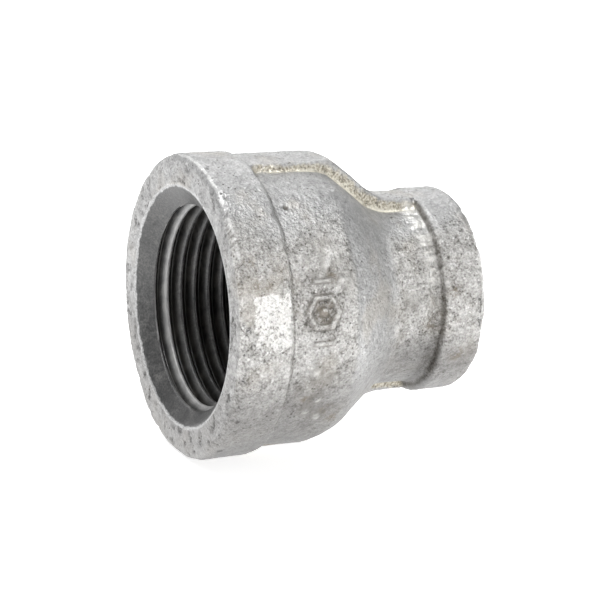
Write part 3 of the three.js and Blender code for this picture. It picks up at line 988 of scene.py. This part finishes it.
def zinc_material():
    """Hot-dip zinc over a sand casting: mottled light grey, pitted, stained, with residue beside the ribs."""
    g = Graph("galvanised_casting")
    patches = g.noise(5.0, detail=4, roughness=0.6, distortion=0.4)
    blotches = g.noise(0.8, detail=3, roughness=0.6)
    grain = g.noise(0.36, detail=2, roughness=0.6)
    rough = g.attribute("rough")
    tone = g.plus(g.times(patches, 0.08), g.times(grain, 0.55))
    tone = g.plus(tone, g.times(blotches, 0.2))
    # Painted light: lighter where the relief stands proud.
    tone = g.plus(tone, g.times(g.attribute("raised"), 0.17))
    glints = g.times(g.band(g.spots(0.9), 0.16, 0.28, 1.0, 0.0), g.band(blotches, 0.48, 0.6))
    glints = g.times(glints, g.band(rough, 0.2, 0.9))
    specks = g.band(g.spots(0.75), 0.13, 0.24, 1.0, 0.0)
    specks = g.times(specks, g.band(g.noise(2.6, detail=3), 0.48, 0.62))
    # Worn rims, with a painted highlight along them.
    wear_and_painted_shine = g.band(g.plus(g.attribute("edge"), g.times(grain, 0.4)), 0.75, 1.15)

    colour = coat_colour(g, tone, rough, glints)
    colour = with_specks(g, colour, specks, blotches)
    colour = with_residue(g, colour, blotches, grain)
    colour = with_stains_and_painted_shade(g, colour, blotches, grain)
    colour = with_wear_and_painted_highlights(g, colour, wear_and_painted_shine, blotches, grain)

    smoothed = g.times(g.math("MAXIMUM", wear_and_painted_shine, glints), 0.06)
    roughness = g.math("SUBTRACT", g.band(tone, 0.35, 0.65, 0.50, 0.34), smoothed)
    coarse = g.times(g.noise(0.75, detail=4, roughness=0.6), g.band(rough, 0.0, 1.0, 0.45, 1.8))
    height = g.plus(coarse, g.times(grain, g.band(rough, 0.0, 1.0, 0.15, 0.6)))
    height = g.math("SUBTRACT", height, g.times(specks, 0.5))
    return g.finish(colour, 0.72, roughness, height, 0.6)


def thread_material():
    """Machined countersinks and threads: oily grey iron, oil and painted shade in the grooves, painted light
    on the crests, zinc at the lip.
    """
    g = Graph("cut_thread")
    smear = g.noise(2.2, detail=5, roughness=0.6, distortion=0.8)
    scratch = g.noise(0.3, detail=3, roughness=0.6)
    mottle = g.plus(g.times(smear, 0.5), g.times(scratch, 0.5))
    colour = g.colours(mottle, (0.35, grey(0.035)), (0.50, grey(0.07)), (0.65, grey(0.13, 0.02)))
    groove = g.colours(smear, (0.35, grey(0.010, 0.03)), (0.7, grey(0.035, 0.08)))
    # Oil and painted shade in the grooves.
    colour = g.mix(g.band(g.attribute("groove"), 0.08, 0.8), colour, groove)
    crest = g.colours(smear, (0.35, grey(0.34)), (0.65, grey(0.52, 0.01)))
    # Painted light on the crests near the mouth.
    colour = g.mix(g.times(g.attribute("painted_ridge_light"), 0.85), colour, crest)
    zinc = g.band(g.plus(g.attribute("lip"), g.times(g.noise(1.1, detail=4), 1.2)), 0.9, 1.25)
    colour = g.mix(zinc, colour, g.colours(scratch, (0.35, grey(0.26)), (0.65, grey(0.48))))
    metallic = g.band(zinc, 0.0, 1.0, 0.2, 0.6)
    roughness = g.band(smear, 0.35, 0.7, 0.30, 0.48)
    return g.finish(colour, metallic, roughness, scratch, 0.03)


def chamber_material():
    """The cored inside, dull zinc over sand skin."""
    g = Graph("cored_inside")
    skin = g.noise(1.6, detail=5, roughness=0.65)
    colour = g.colours(skin, (0.35, grey(0.05)), (0.65, grey(0.14, 0.03)))
    roughness = g.band(skin, 0.3, 0.7, 0.5, 0.75)
    return g.finish(colour, 0.5, roughness, skin, 0.15)


def floor_material():
    """A pale table that lets some light through from below, as a light table does."""
    g = Graph("pale_floor")
    cloud = g.noise(120, detail=1)
    colour = g.colours(cloud, (0.3, (0.93, 0.93, 0.93)), (0.7, (0.95, 0.95, 0.95)))
    g.shader.inputs["Emission Color"].default_value = (1, 1, 1, 1)
    g.shader.inputs["Emission Strength"].default_value = FLOOR_GLOW
    return g.finish(colour, 0.0, 0.9, cloud, 0.01)


# ---------------------------------------------------------------------------------------------------------
# The floor, the light and the camera
# ---------------------------------------------------------------------------------------------------------

CAMERA_AZIMUTH = math.radians(-25.88)
CAMERA_ELEVATION = math.radians(17.7)
CAMERA_ROLL = math.radians(3.81)
CAMERA_DISTANCE = 451.5
CAMERA_ASIDE = (-1.871, -0.548)
LENS = 181.5
SENSOR = 36.0
FLOOR_GLOW = 0.7
FLOOR_HALF = 3.0
WORLD_LIGHT = 0.25


def add_floor():
    signs = ((-1, -1), (1, -1), (1, 1), (-1, 1))
    corners = [(FLOOR_HALF * side, FLOOR_HALF * depth, FLOOR_Z) for side, depth in signs]
    mesh = bpy.data.meshes.new("floor")
    mesh.from_pydata(corners, [], [(0, 1, 2, 3)])
    mesh.materials.append(floor_material())
    floor = bpy.data.objects.new("floor", mesh)
    bpy.context.scene.collection.objects.link(floor)


def add_camera():
    a, e, r = CAMERA_AZIMUTH, CAMERA_ELEVATION, CAMERA_ROLL
    back = Vector((math.sin(a) * math.cos(e), -math.cos(a) * math.cos(e), math.sin(e)))
    level = Vector((0, 0, 1)).cross(back).normalized()
    upright = back.cross(level)
    right = level * math.cos(r) + upright * math.sin(r)
    up = upright * math.cos(r) - level * math.sin(r)
    data = bpy.data.cameras.new("camera")
    data.lens = LENS
    data.sensor_width = SENSOR
    data.clip_start = 0.01
    camera = bpy.data.objects.new("camera", data)
    place = (right * CAMERA_ASIDE[0] + up * CAMERA_ASIDE[1] + back * CAMERA_DISTANCE) * MM
    turn = Matrix((right, up, back)).transposed().to_4x4()
    camera.matrix_world = Matrix.Translation(place) @ turn
    bpy.context.scene.collection.objects.link(camera)
    bpy.context.scene.camera = camera


def add_softbox(name, place, size, power, run=None):
    """A rectangular light that faces the object, with its first side level or along a given run."""
    data = bpy.data.lights.new(name, "AREA")
    data.shape = "RECTANGLE"
    data.size = size[0]
    data.size_y = size[1]
    data.energy = power
    light = bpy.data.objects.new(name, data)
    back = Vector(place).normalized()
    side = Vector(run) if run else Vector((0, 0, 1)).cross(back)
    side = (side - back * side.dot(back)).normalized()
    turn = Matrix((side, back.cross(side), back)).transposed().to_4x4()
    light.matrix_world = Matrix.Translation(place) @ turn
    bpy.context.scene.collection.objects.link(light)


def add_light():
    add_softbox("softbox_above", (-0.10, -0.22, 0.78), (0.30, 0.30), 6.2)
    add_softbox("strip_left", (-0.36, 0.24, 0.66), (0.95, 0.11), 1.9, run=(0.36, 0.93, -0.08))
    add_softbox("softbox_front", (0.36, -0.80, 0.08), (0.22, 0.35), 1.0)
    add_softbox("softbox_right", (0.80, -0.35, 0.30), (0.2, 0.4), 1.5)
    add_softbox("softbox_back_left", (-0.20, 0.78, 0.43), (0.5, 0.28), 0.9)
    add_softbox("softbox_back", (0.38, 0.66, 0.42), (0.5, 0.3), 1.6)
    world = bpy.data.worlds.new("studio")
    world.use_nodes = True
    background = world.node_tree.nodes["Background"]
    background.inputs["Color"].default_value = (1, 1, 1, 1)
    background.inputs["Strength"].default_value = WORLD_LIGHT
    bpy.context.scene.world = world
    bpy.context.scene.view_settings.view_transform = "Standard"


# ---------------------------------------------------------------------------------------------------------
# The object
# ---------------------------------------------------------------------------------------------------------

reducer = casting_shell().to_object("reducer", [zinc_material(), thread_material(), chamber_material()])
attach(reducer, "root")
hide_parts("reducer_body")

add_floor()
add_light()
add_camera()
